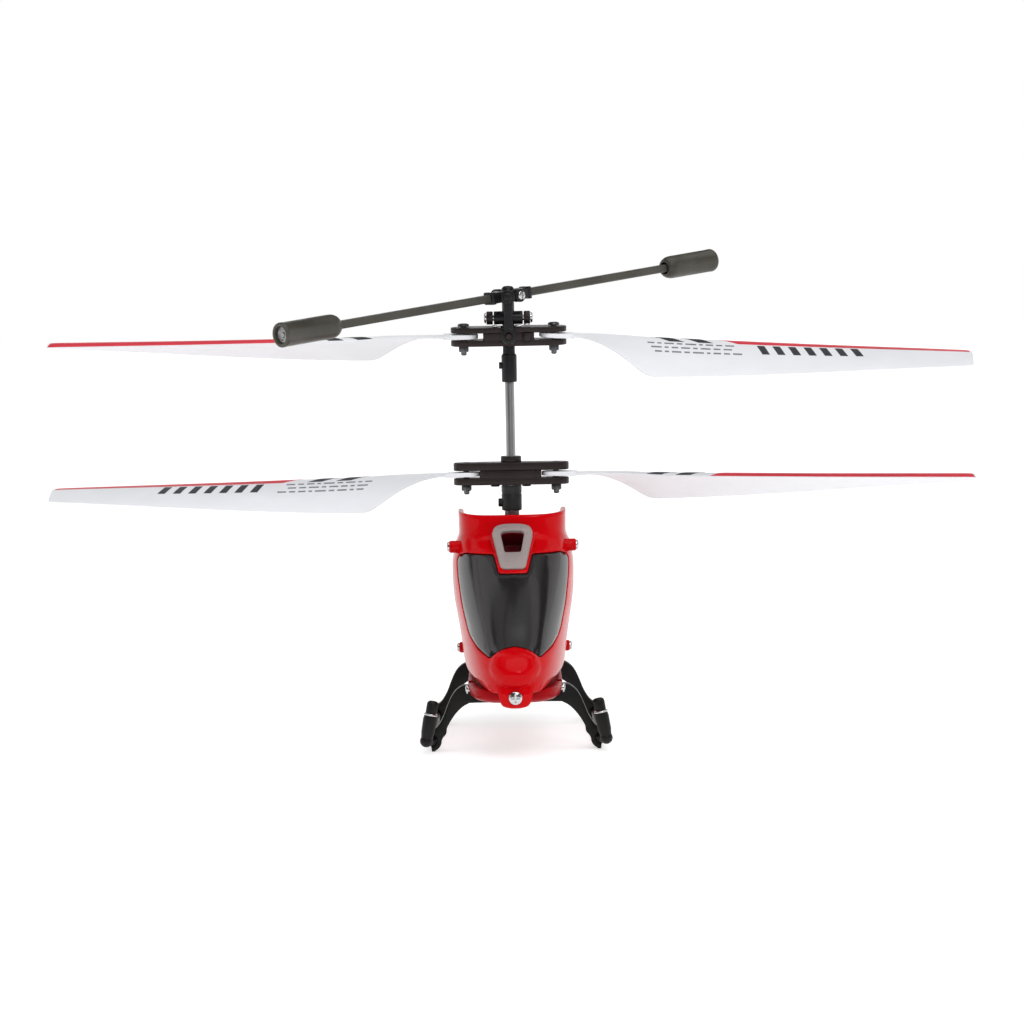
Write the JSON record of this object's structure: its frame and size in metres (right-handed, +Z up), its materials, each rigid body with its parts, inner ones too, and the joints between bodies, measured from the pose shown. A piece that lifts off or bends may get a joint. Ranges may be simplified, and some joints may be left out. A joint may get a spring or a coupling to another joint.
{
  "type": "remote control helicopter",
  "caption": "Small indoor remote control helicopter with twin counter-rotating rotors, a weighted flybar, a red shell canopy and landing skids.",
  "frame": {"origin": "on the ground, under the middle of the whole machine", "axes": "+X to the right as seen from the front, +Y from the nose to the tail, +Z up"},
  "size_m": [0.1888, 0.2181, 0.0983],
  "materials": {
    "red_gloss": "glossy moulded red",
    "smoked_screen": "glossy dark smoke",
    "taupe_plastic": "satin taupe",
    "dark_red_plastic": "satin dark red",
    "chrome_screw": "bright plated",
    "frame_plastic": "moulded black-grey",
    "brass_bush": "turned",
    "brass_pinion": "turned",
    "motor_can": "drawn can",
    "battery_foil": "shrink wrap over foil",
    "circuit_board": "green solder mask",
    "chip_plastic": "moulded chips",
    "clear_lens": "clear lens",
    "black_plastic": "moulded black",
    "white_knob": "moulded white",
    "skid_plastic": "satin black",
    "boom_aluminium": "black anodised tube",
    "carbon_rod": "satin rod",
    "shaft_steel": "ground",
    "gear_nylon": "natural nylon",
    "grip_plastic": "satin dark brown",
    "dark_bolt": "blackened",
    "white_blade": "translucent white",
    "head_plastic": "satin black",
    "smoky_plastic": "smoky moulded",
    "slug_metal": "plain metal"
  },
  "bodies": {
    "airframe": {"canopy": "red_gloss", "windscreen": "smoked_screen", "intake_bezel": "taupe_plastic", "belly_tray": "dark_red_plastic", "canopy_screws": "chrome_screw", "nose_screw": "chrome_screw", "side_plate_left": "frame_plastic", "side_plate_right": "frame_plastic", "frame_screws": "chrome_screw", "top_deck": "frame_plastic", "motor_block": "frame_plastic", "bottom_deck": "frame_plastic", "shaft_bearings": "brass_bush", "motor_front": "motor_can", "motor_rear": "motor_can", "battery": "battery_foil", "receiver_board": "circuit_board", "board_chips": "chip_plastic", "nose_led": "clear_lens", "charge_socket": "black_plastic", "switch_body": "black_plastic", "front_strut": "skid_plastic", "rear_strut": "skid_plastic", "runner_left": "skid_plastic", "runner_right": "skid_plastic", "toe_caps": "skid_plastic", "boom_clamp": "frame_plastic", "tail_boom": "boom_aluminium", "boom_struts": "carbon_rod", "tail_stabiliser": "red_gloss", "tail_fin": "red_gloss", "tail_motor": "motor_can", "tail_motor_housing": "black_plastic"},
    "lower_rotor": {"outer_shaft": "shaft_steel", "outer_gear": "gear_nylon", "mast_collar": "black_plastic", "lower_grip_bottom": "grip_plastic", "lower_grip_top": "grip_plastic", "lower_grip_bolts": "dark_bolt"},
    "upper_rotor": {"inner_shaft": "shaft_steel", "inner_gear": "gear_nylon", "rotor_head": "head_plastic", "head_screws": "chrome_screw"},
    "upper_grip": {"upper_grip_bottom": "grip_plastic", "upper_grip_top": "grip_plastic", "upper_grip_bolts": "dark_bolt"},
    "flybar": {"flybar_hub": "head_plastic", "flybar_rods": "smoky_plastic", "flybar_weights": "smoky_plastic", "flybar_slugs": "slug_metal"},
    "front_link": {"link_front": "grip_plastic"},
    "rear_link": {"link_rear": "grip_plastic"},
    "right_upper_blade": {"upper_blade_right": "white_blade"},
    "left_upper_blade": {"upper_blade_left": "white_blade"},
    "right_lower_blade": {"lower_blade_right": "white_blade"},
    "left_lower_blade": {"lower_blade_left": "white_blade"},
    "front_pinion": {"pinion_front": "brass_pinion"},
    "rear_pinion": {"pinion_rear": "brass_pinion"},
    "tail_prop": {"tail_rotor": "black_plastic"},
    "switch_slider": {"switch_knob": "white_knob"}
  },
  "joints": [
    {"name": "lower_rotor_spin", "type": "hinge", "parent": "airframe", "child": "lower_rotor", "pos_m": [0, -0.059, 0.05], "axis": [0, 0, 1], "continuous": true},
    {"name": "upper_rotor_spin", "type": "hinge", "parent": "airframe", "child": "upper_rotor", "pos_m": [0, -0.059, 0.075], "axis": [0, 0, 1], "continuous": true},
    {"name": "rear_pinion_spin", "type": "hinge", "parent": "airframe", "child": "rear_pinion", "pos_m": [0, -0.05165, 0.035], "axis": [0, 0, 1], "continuous": true},
    {"name": "front_pinion_spin", "type": "hinge", "parent": "airframe", "child": "front_pinion", "pos_m": [0, -0.06635, 0.0165], "axis": [0, 0, 1], "continuous": true},
    {"name": "flybar_teeter", "type": "hinge", "parent": "upper_rotor", "child": "flybar", "pos_m": [0, -0.059, 0.0892], "axis": [0.6691, -0.7431, 0], "range_deg": [-18.5, 5.5]},
    {"name": "grip_feather", "type": "hinge", "parent": "upper_rotor", "child": "upper_grip", "pos_m": [0, -0.059, 0.0847], "axis": [1, 0, 0], "range_deg": [-12.6, 3.8]},
    {"name": "front_link_slide", "type": "slide", "parent": "upper_rotor", "child": "front_link", "axis": [0, 0, 1], "range_m": [-0.0003, 0.00096]},
    {"name": "rear_link_slide", "type": "slide", "parent": "upper_rotor", "child": "rear_link", "axis": [0, 0, 1], "range_m": [-0.00096, 0.0003]},
    {"name": "right_upper_blade_fold", "type": "hinge", "parent": "upper_grip", "child": "right_upper_blade", "pos_m": [0.0092, -0.05872, 0.08106], "axis": [0, -0.0758, 0.9971], "range_deg": [-60, 30]},
    {"name": "left_upper_blade_fold", "type": "hinge", "parent": "upper_grip", "child": "left_upper_blade", "pos_m": [-0.0092, -0.05872, 0.08106], "axis": [0, -0.0758, 0.9971], "range_deg": [-60, 30]},
    {"name": "right_lower_blade_fold", "type": "hinge", "parent": "lower_rotor", "child": "right_lower_blade", "pos_m": [0.00918, -0.05964, 0.05285], "axis": [0, 0, 1], "range_deg": [-75, 75]},
    {"name": "left_lower_blade_fold", "type": "hinge", "parent": "lower_rotor", "child": "left_lower_blade", "pos_m": [-0.00918, -0.05836, 0.05285], "axis": [0, 0, 1], "range_deg": [-75, 75]},
    {"name": "tail_rotor_spin", "type": "hinge", "parent": "airframe", "child": "tail_prop", "pos_m": [0, 0.079, 0.025], "axis": [0, 0, 1], "continuous": true},
    {"name": "power_switch_slide", "type": "slide", "parent": "airframe", "child": "switch_slider", "axis": [0, 1, 0], "range_m": [0, 0.0023]}
  ],
  "couplings": [
    {"joint": "rear_pinion_spin", "follows": "lower_rotor_spin", "ratio": -4.4444},
    {"joint": "front_pinion_spin", "follows": "upper_rotor_spin", "ratio": -4.4444},
    {"joint": "grip_feather", "follows": "flybar_teeter", "ratio": 0.66913},
    {"joint": "front_link_slide", "follows": "flybar_teeter", "m_per_rad": -0.0029442},
    {"joint": "rear_link_slide", "follows": "flybar_teeter", "m_per_rad": 0.0029442}
  ]
}
